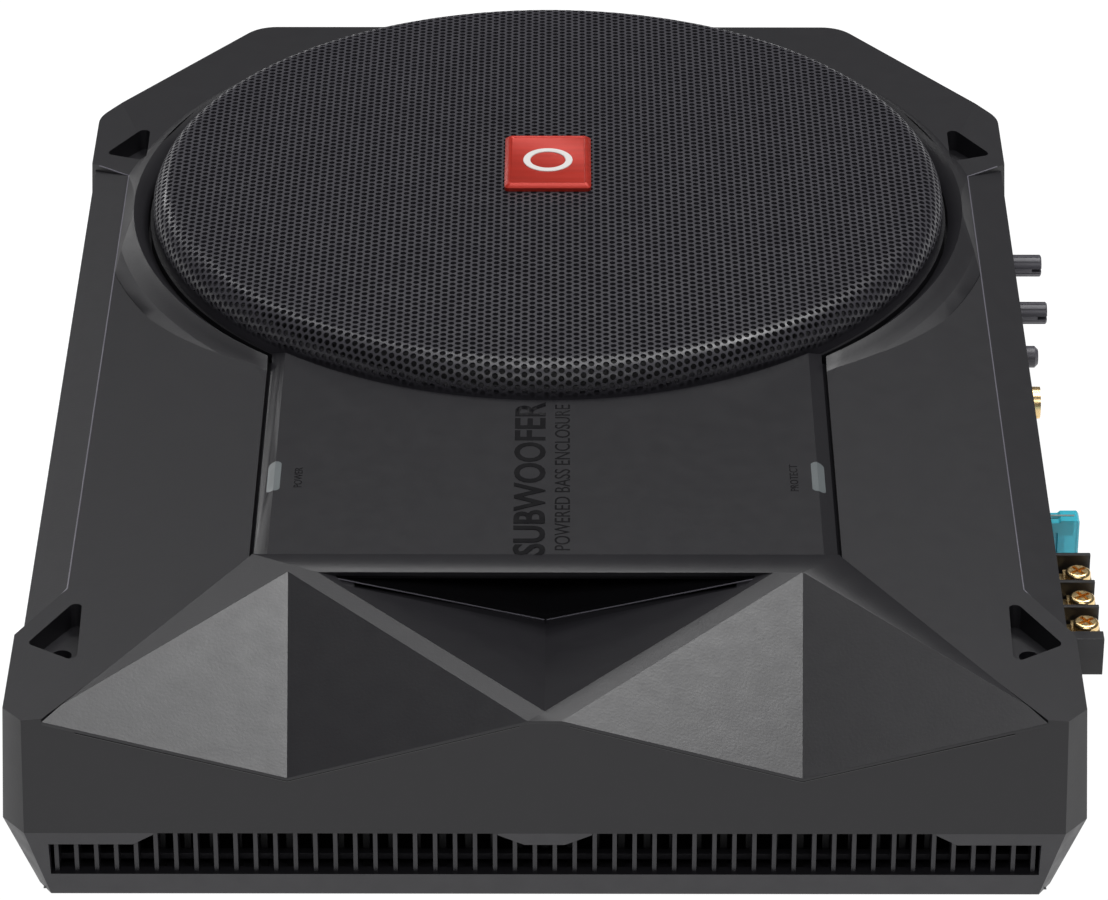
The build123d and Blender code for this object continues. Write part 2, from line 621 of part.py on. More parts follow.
with BuildPart() as woofer_cone:
    add(turned(((FORMER_R + 0.35, 35.2), (FORMER_R + 0.35, FORMER_Z1), (26.0, FORMER_Z1 + 1.4),
                (CONE_EDGE_R, CONE_EDGE_Z + 0.6), (CONE_EDGE_R, CONE_EDGE_Z - 0.8), (26.0, 37.8), (23.0, 35.2))))
save(woofer_cone, "woofer_cone")

ROLL_IN_R, ROLL_OUT_R, ROLL_RISE, ROLL_T = 80.0, 93.2, 5.6, 1.1

with BuildPart() as dust_cap:
    with BuildPart(mode=Mode.PRIVATE) as cap:
        with BuildSketch(Plane.XZ):
            with BuildLine():
                Line((0, 48.8), (1.0, 48.8))
                ThreePointArc((1.0, 48.8), (15.5, 46.6), (26.0, 40.6))
                Line((26.0, 40.6), (25.0, 39.9))
                ThreePointArc((25.0, 39.9), (15.0, 45.6), (1.0, 47.6))
                Line((1.0, 47.6), (0, 47.6))
                Line((0, 47.6), (0, 48.8))
            make_face()
        revolve(axis=Axis.Z)
    add(cap.part.moved(Location((0, DRIVER_Y, 0))))
save(dust_cap, "dust_cap")

with BuildPart() as surround:
    # a half roll between the cone's rim and a flat hem on the basket's flange
    middle = (ROLL_IN_R + ROLL_OUT_R) / 2
    with BuildPart(mode=Mode.PRIVATE) as roll:
        with BuildSketch(Plane.XZ):
            with BuildLine():
                Line((76.0, 54.1), (ROLL_IN_R, 54.5))
                ThreePointArc((ROLL_IN_R, 54.5), (middle, 54.5 + ROLL_RISE), (ROLL_OUT_R - 1.6, FLANGE_Z + 0.1))
                Line((ROLL_OUT_R - 1.6, FLANGE_Z + 0.1), (95.2, FLANGE_Z + 0.1))
                Line((95.2, FLANGE_Z + 0.1), (95.2, FLANGE_Z + 0.1 + ROLL_T))
                Line((95.2, FLANGE_Z + 0.1 + ROLL_T), (ROLL_OUT_R, FLANGE_Z + 0.1 + ROLL_T))
                ThreePointArc((ROLL_OUT_R, FLANGE_Z + 0.1 + ROLL_T), (middle, 54.5 + ROLL_RISE + ROLL_T),
                              (ROLL_IN_R - 1.6, 55.5))
                Line((ROLL_IN_R - 1.6, 55.5), (76.0, 55.0))
                Line((76.0, 55.0), (76.0, 54.1))
            make_face()
        revolve(axis=Axis.Z)
    add(roll.part.moved(Location((0, DRIVER_Y, 0))))
save(surround, "surround")

with BuildPart() as spider:
    # corrugated disc between the former and the basket's shelf
    rings, inner_r, outer_r, wave = 5, FORMER_R + 0.35, 60.0, 1.1
    step = (55.0 - 24.0) / (2 * rings)
    top = [(24.0 + step * (k + 0.5), SHELF_Z + 1.0 + (wave if k % 2 == 0 else -wave)) for k in range(2 * rings)]
    top = [(inner_r, SHELF_Z + 1.0), (23.0, SHELF_Z + 1.0)] + top + [(56.5, SHELF_Z + 1.0), (outer_r, SHELF_Z + 1.0)]
    add(turned(top + [(r, z - 0.8) for r, z in reversed(top)]))
save(spider, "spider")

# ---- amplifier on the tray, under the panel ----
AMP_Z, AMP_T = FLOOR + 4.0, 1.6
AMP_TOP = AMP_Z + AMP_T

with BuildPart() as amp_board:
    with Locations((-2, -93, AMP_Z + AMP_T / 2)):
        Box(196, 106, AMP_T)
    with Locations((0, DRIVER_Y, AMP_Z)):
        Cylinder(60, 10, mode=Mode.SUBTRACT)
    for x, y in BOARD_SCREWS:
        add(post(x, y, 1.6, 0, 20), mode=Mode.SUBTRACT)
save(amp_board, "amp_board")

with BuildPart() as board_screws:
    for x, y in BOARD_SCREWS:
        add(cap_screw(x, y, 2.6, 1.8, 1.05, AMP_TOP, 4.6))
save(board_screws, "board_screws")

with BuildPart() as heat_sink:
    # a bar across the vents with fins towards them and a shelf for the transistors
    with Locations((0, -154.5, 10.5)):
        Box(188, 6, 15)
    for i in range(31):
        with Locations(((i - 15) * 6.0, -160.2, 10.5)):
            Box(1.6, 5.8, 15)
save(heat_sink, "heat_sink")

TRANSISTOR_XS = (-62, -44, -26, 26, 44, 62)

with BuildPart() as transistors:
    for x in TRANSISTOR_XS:
        with Locations((x, -149.2, AMP_TOP + 10)):
            Box(10, 4.4, 15)
        for pin in (-2.54, 0, 2.54):
            with Locations((x + pin, -149.2, AMP_TOP + 1.25)):
                Box(0.8, 0.5, 2.5)
save(transistors, "transistors")

CAPACITORS = ((-66, -118, 8.0, 21), (-47, -118, 8.0, 21), (-28, -120, 5.0, 15), (62, -112, 6.3, 18), (78, -112, 6.3, 18))

with BuildPart() as capacitors:
    for x, y, radius, height in CAPACITORS:
        add(post(x, y, radius, AMP_TOP, AMP_TOP + height))
save(capacitors, "capacitors")

with BuildPart() as toroid:
    with Locations((30, -112, AMP_TOP + 6.5)):
        Torus(11.0, 5.5)
save(toroid, "toroid")

with BuildPart() as port_duct:
    # a lined throat behind the mouth in the faceted front
    with BuildSketch(Plane.XZ.offset(117.6)):
        Polygon((-52.6, 54.9), (52.6, 54.9), (0, 43.0), align=None)
        Polygon(*MOUTH, align=None, mode=Mode.SUBTRACT)
    extrude(amount=-24.6)
save(port_duct, "port_duct")

with BuildPart() as damping_foam:
    with Locations((-97, 50, FLOOR + 6)):
        Box(20, 96, 12)
save(damping_foam, "damping_foam")

with BuildPart() as led_lenses:
    # the cover's own skin, where its two slots are
    for side in SIDES:
        with BuildPart(mode=Mode.PRIVATE) as lens:
            add(cover_form(0))
            add(cover_form(COVER_T), mode=Mode.SUBTRACT)
            add(led_prism(side, 0.1), mode=Mode.INTERSECT)
        add(lens.part)
save(led_lenses, "led_lenses")

# ---- control panel ----
WALL_INNER_X = 122.2  # how far out the panel's rim reaches, inside the shell's window
BUSHING_R, BUSHING_X = 4.5, 121.9
BODY_X0, BODY_X1 = BOARD_X + BOARD_T, PANEL_X - PANEL_T
PHASE_R, PHASE_STROKE = 2.9, 2.5
SPACER_YS = (-81.8, -61.4, 62.75, 86.0)
SPEAKER_IN = (16.0, 11.0)
REMOTE = (13.0, 13.0)
FUSE_HOLDER = (9.2, 24.4)
FUSE_BODY = (5.1, 19.1)
FUSE_X0, FUSE_X1, BLADE_X0 = 119.5, 131.8, 111.5
BLADE_Z = (CONTROL_Z - 7.0, CONTROL_Z + 7.0)


def rod(x0, x1, y, z, radius):
    """A round bar along X."""
    with BuildPart() as bar:
        with BuildSketch(Plane.YZ.offset(x0)):
            with Locations((y, z)):
                Circle(radius)
        extrude(amount=x1 - x0)
    return bar.part


def block(x0, x1, y, z, size_y, size_z):
    """A square-edged block centred on (y, z)."""
    with BuildPart() as solid:
        with Locations(((x0 + x1) / 2, y, z)):
            Box(x1 - x0, size_y, size_z)
    return solid.part


with BuildPart() as control_panel:
    mid_y, mid_z = (PANEL_FRONT_Y + PANEL_BACK_Y) / 2, (PANEL_LOW_Z + PANEL_HIGH_Z) / 2
    span_y, span_z = PANEL_BACK_Y - PANEL_FRONT_Y - 0.4, PANEL_HIGH_Z - PANEL_LOW_Z - 0.4
    add(block(BODY_X1, WALL_INNER_X, mid_y, mid_z, span_y, span_z))
    add(block(PANEL_X, WALL_INNER_X + 1, mid_y, mid_z, span_y - 2.0, span_z - 1.2), mode=Mode.SUBTRACT)
    for y, radius in ((LEVEL_Y, BUSHING_R + 0.05), (CROSSOVER_Y, BUSHING_R + 0.05), (PHASE_Y, PHASE_R + 0.3)):
        add(rod(100, 130, y, CONTROL_Z, radius), mode=Mode.SUBTRACT)
    add(block(100, 130, AUTO_Y, CONTROL_Z, 7.4, 3.4), mode=Mode.SUBTRACT)
    for z in RCA_Z:
        add(rod(100, 130, RCA_Y, z, RCA_R + 0.1), mode=Mode.SUBTRACT)
    add(block(100, 130, SPEAKER_IN_Y, CONTROL_Z, SPEAKER_IN[0] + 0.2, SPEAKER_IN[1] + 0.2), mode=Mode.SUBTRACT)
    add(block(100, 130, REMOTE_Y, CONTROL_Z, REMOTE[0] + 0.2, REMOTE[1] + 0.2), mode=Mode.SUBTRACT)
    add(block(100, 130, FUSE_Y, CONTROL_Z, FUSE_HOLDER[0] + 0.2, 21.0), mode=Mode.SUBTRACT)
    add(block(100, 130, (BLOCK_Y0 + BLOCK_Y1) / 2, (BLOCK_LOW_Z + BLOCK_TOP_Z) / 2, BLOCK_Y1 - BLOCK_Y0 + 0.2,
              BLOCK_TOP_Z - BLOCK_LOW_Z + 0.2), mode=Mode.SUBTRACT)
    for y in SPACER_YS:
        add(rod(100, 130, y, CONTROL_Z, 1.3), mode=Mode.SUBTRACT)
save(control_panel, "control_panel")

with BuildPart() as io_board:
    add(block(BOARD_X, BODY_X0, -20.5, 24.0, 219, 38))
    for y in SPACER_YS:
        add(rod(100, 130, y, CONTROL_Z, 1.3), mode=Mode.SUBTRACT)
save(io_board, "io_board")

with BuildPart() as io_spacers:
    for y in SPACER_YS:
        add(rod(BODY_X0, BODY_X1, y, CONTROL_Z, 2.6))
        add(rod(BODY_X0 - 1, BODY_X1 + 1, y, CONTROL_Z, 1.25), mode=Mode.SUBTRACT)
save(io_spacers, "io_spacers")

with BuildPart() as panel_screws:
    for y in SPACER_YS:
        add(rod(PANEL_X - 8, PANEL_X, y, CONTROL_Z, 1.2))
        add(rod(PANEL_X, PANEL_X + 1.6, y, CONTROL_Z, 2.5))
        add(block(PANEL_X + 0.9, PANEL_X + 2, y, CONTROL_Z, 3.0, 0.6), mode=Mode.SUBTRACT)
        add(block(PANEL_X + 0.9, PANEL_X + 2, y, CONTROL_Z, 0.6, 3.0), mode=Mode.SUBTRACT)
save(panel_screws, "panel_screws")


with BuildPart() as pots:
    # body and threaded bushing of the two rotary controls
    for y in (LEVEL_Y, CROSSOVER_Y):
        add(block(BODY_X0, BODY_X1, y, CONTROL_Z, 11.0, 12.0))
        add(rod(BODY_X1, BUSHING_X, y, CONTROL_Z, BUSHING_R))
        add(rod(BODY_X0 + 2.4, BUSHING_X + 1, y, CONTROL_Z, SHAFT_R + SHAFT_FIT), mode=Mode.SUBTRACT)
save(pots, "pots")


def knob(y, tip_x):
    """A slotted control shaft: round, with a chamfered tip and a saw cut across it."""
    with BuildPart() as shaft:
        add(rod(BODY_X0 + 3.0, tip_x, y, CONTROL_Z, SHAFT_R))
        chamfer(shaft.faces().sort_by(Axis.X)[-1].edges(), 0.35)
        add(block(tip_x - 2.6, tip_x + 1, y, CONTROL_Z, 8, 0.9), mode=Mode.SUBTRACT)
        # flats along the shaft, as the knurl's stand-in, clear of the bushing
        for turn in range(12):
            with Locations(Location((BUSHING_X + 2.0, y, CONTROL_Z), (turn * 30 + 15, 0, 0))):
                with Locations(((tip_x - BUSHING_X - 2.0) / 2, 0, SHAFT_R + 0.12)):
                    Box(tip_x - BUSHING_X - 2.0 + 1, 0.5, 0.5, mode=Mode.SUBTRACT)
    return shaft


save(knob(LEVEL_Y, LEVEL_TIP_X), "level_knob")
save(knob(CROSSOVER_Y, CROSSOVER_TIP_X), "crossover_knob")

with BuildPart() as pot_nuts:
    for y in (LEVEL_Y, CROSSOVER_Y):
        with BuildSketch(Plane.YZ.offset(PANEL_X)):
            with Locations((y, CONTROL_Z)):
                RegularPolygon(6.9, 6)
                Circle(BUSHING_R + 0.02, mode=Mode.SUBTRACT)
        extrude(amount=2.0)
save(pot_nuts, "pot_nuts")

with BuildPart() as phase_switch:
    add(block(BODY_X0, BODY_X1, PHASE_Y, CONTROL_Z, 8.6, 8.6))
    add(rod(BODY_X0 + 2.2, BODY_X1 + 1, PHASE_Y, CONTROL_Z, PHASE_R + 0.08), mode=Mode.SUBTRACT)
save(phase_switch, "phase_switch")

with BuildPart() as phase_button:
    add(rod(BODY_X0 + 2.4 + PHASE_STROKE, PHASE_TIP_X, PHASE_Y, CONTROL_Z, PHASE_R))
    chamfer(phase_button.faces().sort_by(Axis.X)[-1].edges(), 0.9)
save(phase_button, "phase_button")

with BuildPart() as auto_switch:
    add(block(BODY_X0, BODY_X1, AUTO_Y, CONTROL_Z, 13.0, 8.0))
    add(block(BODY_X0 + 3.4, BODY_X1 + 1, AUTO_Y, CONTROL_Z, 7.2, 3.0), mode=Mode.SUBTRACT)
save(auto_switch, "auto_switch")

with BuildPart() as auto_slider:
    add(block(BODY_X0 + 3.6, PANEL_X + 2.4, AUTO_Y, CONTROL_Z, 3.0, 2.8))
    fillet(auto_slider.faces().sort_by(Axis.X)[-1].edges(), 0.3)
save(auto_slider, "auto_slider")

RCA_TIP_X = 127.0

with BuildPart() as rca_block:
    add(block(BODY_X0, BODY_X1, RCA_Y, sum(RCA_Z) / 2, 10.6, 25.0))
save(rca_block, "rca_block")

with BuildPart() as rca_barrels:
    for z in RCA_Z:
        add(rod(BODY_X1, RCA_TIP_X, RCA_Y, z, RCA_R))
        add(rod(BODY_X1 - 1, RCA_TIP_X + 1, RCA_Y, z, 3.3), mode=Mode.SUBTRACT)
save(rca_barrels, "rca_barrels")

with BuildPart() as rca_inserts:
    for z in RCA_Z:
        add(rod(BODY_X1, RCA_TIP_X - 0.6, RCA_Y, z, 3.3))
        add(rod(BODY_X1 + 0.8, RCA_TIP_X + 1, RCA_Y, z, 1.65), mode=Mode.SUBTRACT)
save(rca_inserts, "rca_inserts")

with BuildPart() as speaker_in_socket:
    add(block(BODY_X0, PANEL_X + 1.0, SPEAKER_IN_Y, CONTROL_Z, *SPEAKER_IN))
    add(block(BODY_X0 + 2.4, PANEL_X + 2.0, SPEAKER_IN_Y, CONTROL_Z, SPEAKER_IN[0] - 2.4, SPEAKER_IN[1] - 2.4),
        mode=Mode.SUBTRACT)
save(speaker_in_socket, "speaker_in_socket")

with BuildPart() as speaker_in_pins:
    for dy in (-4.5, -1.5, 1.5, 4.5):
        add(block(BODY_X0 + 2.4, BODY_X0 + 9.0, SPEAKER_IN_Y + dy, CONTROL_Z - 2.4, 0.8, 0.8))
save(speaker_in_pins, "speaker_in_pins")

with BuildPart() as remote_jack:
    add(block(BODY_X0, PANEL_X + 1.0, REMOTE_Y, CONTROL_Z, *REMOTE))
    add(block(BODY_X0 + 1.6, PANEL_X + 2.0, REMOTE_Y, CONTROL_Z - 0.6, 10.0, 7.6), mode=Mode.SUBTRACT)
    add(block(BODY_X0 + 1.6, PANEL_X + 2.0, REMOTE_Y, CONTROL_Z + 4.0, 4.6, 2.2), mode=Mode.SUBTRACT)
save(remote_jack, "remote_jack")

with BuildPart() as fuse_holder:
    add(block(BODY_X0, BODY_X1, FUSE_Y, CONTROL_Z, *FUSE_HOLDER))
    add(block(BODY_X1, PANEL_X + 0.4, FUSE_Y, CONTROL_Z, FUSE_HOLDER[0], 20.8))
    for z in BLADE_Z:
        add(block(BLADE_X0 - 1.5, PANEL_X + 1, FUSE_Y, z, 0.85, 5.4), mode=Mode.SUBTRACT)
save(fuse_holder, "fuse_holder")

with BuildPart() as fuse_body:
    # a cap that is widest at its head, with a recessed window between the blades' shoulders
    with BuildSketch(Plane.XZ.offset(-FUSE_Y)):
        Polygon((FUSE_X0, CONTROL_Z - 8.7), (FUSE_X1 - 5.2, CONTROL_Z - 8.9), (FUSE_X1 - 4.6, CONTROL_Z - 9.55),
                (FUSE_X1, CONTROL_Z - 9.55), (FUSE_X1, CONTROL_Z + 9.55), (FUSE_X1 - 4.6, CONTROL_Z + 9.55),
                (FUSE_X1 - 5.2, CONTROL_Z + 8.9), (FUSE_X0, CONTROL_Z + 8.7), align=None)
    extrude(amount=FUSE_BODY[0] / 2, both=True)
    chamfer(fuse_body.faces().sort_by(Axis.X)[-1].edges(), 0.5)
    for face in (-1, 1):
        add(block(FUSE_X0 + 1.5, FUSE_X1 - 5.4, FUSE_Y + face * FUSE_BODY[0] / 2, CONTROL_Z, 1.2, 12.0),
            mode=Mode.SUBTRACT)
    for z in BLADE_Z:
        add(block(FUSE_X0 - 1, FUSE_X1 - 1.2, FUSE_Y, z, 0.65, 5.2), mode=Mode.SUBTRACT)
    add(block(FUSE_X0 + 2, FUSE_X1 - 3.4, FUSE_Y, CONTROL_Z, 0.65, 10.0), mode=Mode.SUBTRACT)
save(fuse_body, "fuse_body")

with BuildPart() as fuse_blades:
    # one stamping: two blades and the thin link between them
    for z in BLADE_Z:
        add(block(BLADE_X0, FUSE_X1 - 1.2, FUSE_Y, z, 0.65, 5.2))
    add(block(FUSE_X0 + 4.0, FUSE_X0 + 5.2, FUSE_Y, CONTROL_Z, 0.5, 9.2))
save(fuse_blades, "fuse_blades")

# ---- power terminals: three clamps in a row between upright barriers ----
PLATE_TOP_Z, CLAMP_T, CLAMP_GAP = BLOCK_FLOOR_Z + 1.0, 1.2, 0.2
HEAD_Z = PLATE_TOP_Z + CLAMP_GAP + CLAMP_T
WALLS_Y = ((BLOCK_Y1 - 1.2, BLOCK_Y1), (-102.2, -101.0), (-113.4, -112.2), (BLOCK_Y0, -124.0))

with BuildPart() as terminal_block:
    mid_y, span_y = (BLOCK_Y0 + BLOCK_Y1) / 2, BLOCK_Y1 - BLOCK_Y0
    add(block(BLOCK_X0, BLOCK_X1, mid_y, (BLOCK_LOW_Z + BLOCK_FLOOR_Z) / 2, span_y, BLOCK_FLOOR_Z - BLOCK_LOW_Z))
    add(block(BLOCK_X0, PANEL_X + 4.4, mid_y, (BLOCK_LOW_Z + BLOCK_TOP_Z) / 2, span_y, BLOCK_TOP_Z - BLOCK_LOW_Z))
    for low, high in WALLS_Y:
        add(block(BLOCK_X0, BLOCK_X1, (low + high) / 2, (BLOCK_LOW_Z + BLOCK_TOP_Z) / 2, high - low,
                  BLOCK_TOP_Z - BLOCK_LOW_Z))
    for y in TERMINAL_YS:
        add(post(TERMINAL_X, y, 2.2, BLOCK_LOW_Z + 0.8, 60), mode=Mode.SUBTRACT)
save(terminal_block, "terminal_block")

with BuildPart() as terminal_plates:
    for y in TERMINAL_YS:
        add(block(PANEL_X + 4.6, BLOCK_X1 - 0.3, y, BLOCK_FLOOR_Z + 0.5, 8.6, 1.0))
        add(post(TERMINAL_X, y, 1.8, 30, 50), mode=Mode.SUBTRACT)
save(terminal_plates, "terminal_plates")

for i, y in enumerate(TERMINAL_YS):
    with BuildPart() as clamp:
        add(block(TERMINAL_X - 3.4, TERMINAL_X + 3.3, y, HEAD_Z - CLAMP_T / 2, 7.8, CLAMP_T))
        add(post(TERMINAL_X, y, 1.78, 30, 50), mode=Mode.SUBTRACT)
    save(clamp, f"terminal_clamp_{i + 1}")
    with BuildPart() as screw:
        with BuildSketch(Plane.XY.offset(HEAD_Z)):
            with Locations((TERMINAL_X, y)):
                Circle(3.1)
        extrude(amount=2.3)
        fillet(screw.faces().sort_by(Axis.Z)[-1].edges(), 0.9)
        for turn in (0, 90):
            with Locations(Location((TERMINAL_X, y, HEAD_Z + 1.9), (0, 0, 35 + turn))):
                Box(4.2, 0.9, 2.4, mode=Mode.SUBTRACT)
        add(post(TERMINAL_X, y, 1.72, BLOCK_LOW_Z + 1.4, HEAD_Z))
    save(screw, f"terminal_screw_{i + 1}")
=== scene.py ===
import json
import math

import bmesh
import bpy
import numpy as np
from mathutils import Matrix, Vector
from mathutils.bvhtree import BVHTree


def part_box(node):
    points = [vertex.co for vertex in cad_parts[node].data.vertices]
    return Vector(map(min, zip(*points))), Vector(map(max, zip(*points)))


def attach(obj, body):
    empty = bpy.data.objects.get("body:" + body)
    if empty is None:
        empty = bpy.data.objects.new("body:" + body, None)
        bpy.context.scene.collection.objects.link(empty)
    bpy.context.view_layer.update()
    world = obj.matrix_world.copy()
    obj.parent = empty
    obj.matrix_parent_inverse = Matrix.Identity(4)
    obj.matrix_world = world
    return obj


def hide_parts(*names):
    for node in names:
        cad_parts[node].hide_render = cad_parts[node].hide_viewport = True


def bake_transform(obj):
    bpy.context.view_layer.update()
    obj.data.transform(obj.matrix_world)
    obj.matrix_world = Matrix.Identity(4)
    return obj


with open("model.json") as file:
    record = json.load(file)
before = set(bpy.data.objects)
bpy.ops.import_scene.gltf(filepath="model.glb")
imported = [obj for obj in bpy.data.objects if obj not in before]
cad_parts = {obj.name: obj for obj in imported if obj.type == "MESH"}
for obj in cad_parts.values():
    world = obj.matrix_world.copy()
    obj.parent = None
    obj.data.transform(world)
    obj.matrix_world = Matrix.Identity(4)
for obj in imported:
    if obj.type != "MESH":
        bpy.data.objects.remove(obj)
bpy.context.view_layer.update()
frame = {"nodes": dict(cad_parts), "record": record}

# The looks of a flat powered subwoofer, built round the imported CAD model.
# Lengths are in metres, or in millimetres where a comment says so.

MM = 0.001
NODES = frame["nodes"]
SLOT_OF = {part["node"]: part["material_slot"] for part in frame["record"]["subparts"]}


# ---- materials ----


GREY_TINT = (0.97, 0.93, 1.12)  # the black plastics are slightly blue
NOISE_LOW, NOISE_HIGH = 0.3, 0.7  # most of a noise texture's values lie between these
BUMP_STRENGTH = 0.6
ROUGH_SCALE = 2.3  # patches of roughness are this much finer than patches of colour


def grey(level):
    """A near-neutral colour of one brightness."""
    return tuple(level * tint for tint in GREY_TINT)


def noise(tree, scale, detail=2.0, stretch=(1, 1, 1)):
    """A noise texture in the row frame, with scale in cycles per metre."""
    coords = tree.nodes.new("ShaderNodeTexCoord")
    mapping = tree.nodes.new("ShaderNodeMapping")
    mapping.inputs["Scale"].default_value = stretch
    texture = tree.nodes.new("ShaderNodeTexNoise")
    texture.inputs["Scale"].default_value = scale
    texture.inputs["Detail"].default_value = detail
    tree.links.new(coords.outputs["Object"], mapping.inputs["Vector"])
    tree.links.new(mapping.outputs["Vector"], texture.inputs["Vector"])
    return texture.outputs["Fac"]


def spread(tree, source, low, high):
    """Maps the usual span of a noise texture to low..high."""
    node = tree.nodes.new("ShaderNodeMapRange")
    node.inputs["From Min"].default_value = NOISE_LOW
    node.inputs["From Max"].default_value = NOISE_HIGH
    node.inputs["To Min"].default_value = low
    node.inputs["To Max"].default_value = high
    tree.links.new(source, node.inputs["Value"])
    return node.outputs["Result"]


def surface(name, colour, rough, metal=0.0, mottle=0.06, mottle_scale=90.0, grain=900.0, depth=0.02,
            rough_range=0.05, stretch=(1, 1, 1), **sockets):
    """A material whose colour, roughness and height all vary a little over the piece.

    mottle is the share by which the colour varies, rough_range that by which the roughness does, and
    depth is the height of the grain in mm. Scales are in cycles per metre.
    """
    material = bpy.data.materials.new(name)
    material.use_nodes = True
    tree = material.node_tree
    shader = tree.nodes["Principled BSDF"]
    shader.inputs["Metallic"].default_value = metal
    for socket, value in sockets.items():
        shader.inputs[socket.replace("_", " ")].default_value = value
    mix = tree.nodes.new("ShaderNodeMix")
    mix.data_type = "RGBA"
    mix.inputs["A"].default_value = (*[c * (1 - mottle) for c in colour], 1)
    mix.inputs["B"].default_value = (*[min(1, c * (1 + mottle)) for c in colour], 1)
    tree.links.new(spread(tree, noise(tree, mottle_scale, 3.0, stretch), 0, 1), mix.inputs["Factor"])
    tree.links.new(mix.outputs["Result"], shader.inputs["Base Color"])
    patches = noise(tree, mottle_scale * ROUGH_SCALE, 2.0, stretch)
    tree.links.new(spread(tree, patches, rough - rough_range, rough + rough_range), shader.inputs["Roughness"])
    bump = tree.nodes.new("ShaderNodeBump")
    bump.inputs["Strength"].default_value = BUMP_STRENGTH
    bump.inputs["Distance"].default_value = depth * MM
    tree.links.new(noise(tree, grain, 2.0, stretch), bump.inputs["Height"])
    tree.links.new(bump.outputs["Normal"], shader.inputs["Normal"])
    return material


MATERIALS = {
    "shell_plastic": surface("shell_plastic", grey(0.014), 0.42, grain=1500, depth=0.03, mottle=0.02,
                             rough_range=0.015, Specular_IOR_Level=0.42),
    "cover_plastic": surface("cover_plastic", grey(0.014), 0.35, grain=1500, depth=0.03, mottle=0.02,
                             rough_range=0.015, Specular_IOR_Level=0.42),
    "tray_plastic": surface("tray_plastic", grey(0.022), 0.45, grain=1500, depth=0.03),
    "black_plastic": surface("black_plastic", grey(0.012), 0.38, grain=1200, depth=0.015),
    "grille_paint": surface("grille_paint", grey(0.045), 0.36, grain=2500, depth=0.01),
    "badge_red": surface("badge_red", (0.45, 0.026, 0.014), 0.38, metal=0.25, mottle=0.10, mottle_scale=500,
                         stretch=(0.05, 1, 1), depth=0.006, Specular_IOR_Level=0.35),
    "badge_mark": surface("badge_mark", (0.80, 0.78, 0.76), 0.32, mottle=0.02, depth=0.004),
    "foot_rubber": surface("foot_rubber", grey(0.018), 0.75, grain=700, depth=0.05),
    "seal_foam": surface("seal_foam", grey(0.02), 0.85, grain=1600, depth=0.08),
    "cone_paper": surface("cone_paper", grey(0.010), 0.70, mottle=0.2, grain=600, depth=0.06),
    "surround_rubber": surface("surround_rubber", grey(0.008), 0.55, grain=900, depth=0.02),
    "spider_cloth": surface("spider_cloth", (0.42, 0.27, 0.10), 0.85, grain=1300, depth=0.12, mottle=0.15),
    "basket_paint": surface("basket_paint", grey(0.010), 0.42, grain=700, depth=0.03),
    "zinc_steel": surface("zinc_steel", (0.55, 0.55, 0.53), 0.34, metal=1.0, mottle=0.12, mottle_scale=260,
                          depth=0.01),
    "ferrite": surface("ferrite", grey(0.05), 0.6, mottle=0.15, grain=500, depth=0.05),
    "copper_coil": surface("copper_coil", (0.62, 0.24, 0.10), 0.35, metal=1.0, mottle=0.2, mottle_scale=300,
                           stretch=(0.05, 0.05, 8), depth=0.05),
    "black_screw": surface("black_screw", grey(0.03), 0.35, metal=0.6, depth=0.01),
    "board_green": surface("board_green", (0.015, 0.11, 0.035), 0.35, mottle=0.25, mottle_scale=300, depth=0.02,
                           Coat_Weight=0.4),
    "sink_aluminium": surface("sink_aluminium", grey(0.006), 0.5, metal=0.3, mottle=0.1, depth=0.02),
    "capacitor_sleeve": surface("capacitor_sleeve", (0.012, 0.014, 0.04), 0.25, depth=0.01, Coat_Weight=0.5),
    "toroid_winding": surface("toroid_winding", (0.50, 0.17, 0.06), 0.3, metal=0.9, mottle=0.3,
                              mottle_scale=500, depth=0.15),
    "lens_blue": surface("lens_blue", (0.12, 0.135, 0.14), 0.4, mottle=0.05, depth=0.004),
    "gold_plate": surface("gold_plate", (0.90, 0.66, 0.33), 0.26, metal=1.0, mottle=0.1, mottle_scale=350,
                          depth=0.006),
    "brass_pin": surface("brass_pin", (0.75, 0.58, 0.25), 0.28, metal=1.0, mottle=0.08, depth=0.006),
    "insert_red": surface("insert_red", (0.52, 0.02, 0.015), 0.3, mottle=0.05, depth=0.006),
    "fuse_blue": surface("fuse_blue", (0.08, 0.68, 0.85), 0.12, mottle=0.05, depth=0.004,
                         Transmission_Weight=0.35, IOR=1.45),
    "shaft_plastic": surface("shaft_plastic", grey(0.075), 0.38, grain=1400, depth=0.02),
    "nut_steel": surface("nut_steel", (0.45, 0.45, 0.44), 0.36, metal=1.0, mottle=0.12, mottle_scale=300,
                         depth=0.01),
    "foam": surface("foam", grey(0.03), 0.95, mottle=0.3, mottle_scale=400, grain=900, depth=0.4),
    # near-black gloss: the lettering's ink, and also a painted shadow line along the seam below the facets
    "label_ink": surface("label_ink", grey(0.006), 0.16, mottle=0.03, depth=0.002),
    # light grey: a painted highlight on the beads along the ridges and mouth rims
    "edge_sheen": surface("edge_sheen", grey(0.15), 0.38, mottle=0.03, depth=0.003),
}

for node, slot in SLOT_OF.items():
    NODES[node].data.materials.clear()
    NODES[node].data.materials.append(MATERIALS[slot])


# ---- mesh helpers ----

SMOOTH_ANGLE = 40.0  # edges sharper than this stay sharp, in degrees
WELD_GAP = 1e-6
JOIN_ANGLE = 0.4  # triangles flatter than this are joined to one face, in degrees
BEVEL_ANGLE = 8.0  # edges sharper than this are rounded, in degrees
BEVEL_SEGMENTS = 2


def face_out(mesh):
    """Turns a closed mesh's faces outward."""
    form = bmesh.new()
    form.from_mesh(mesh)
    if form.calc_volume(signed=True) < 0:
        mesh.flip_normals()
    form.free()


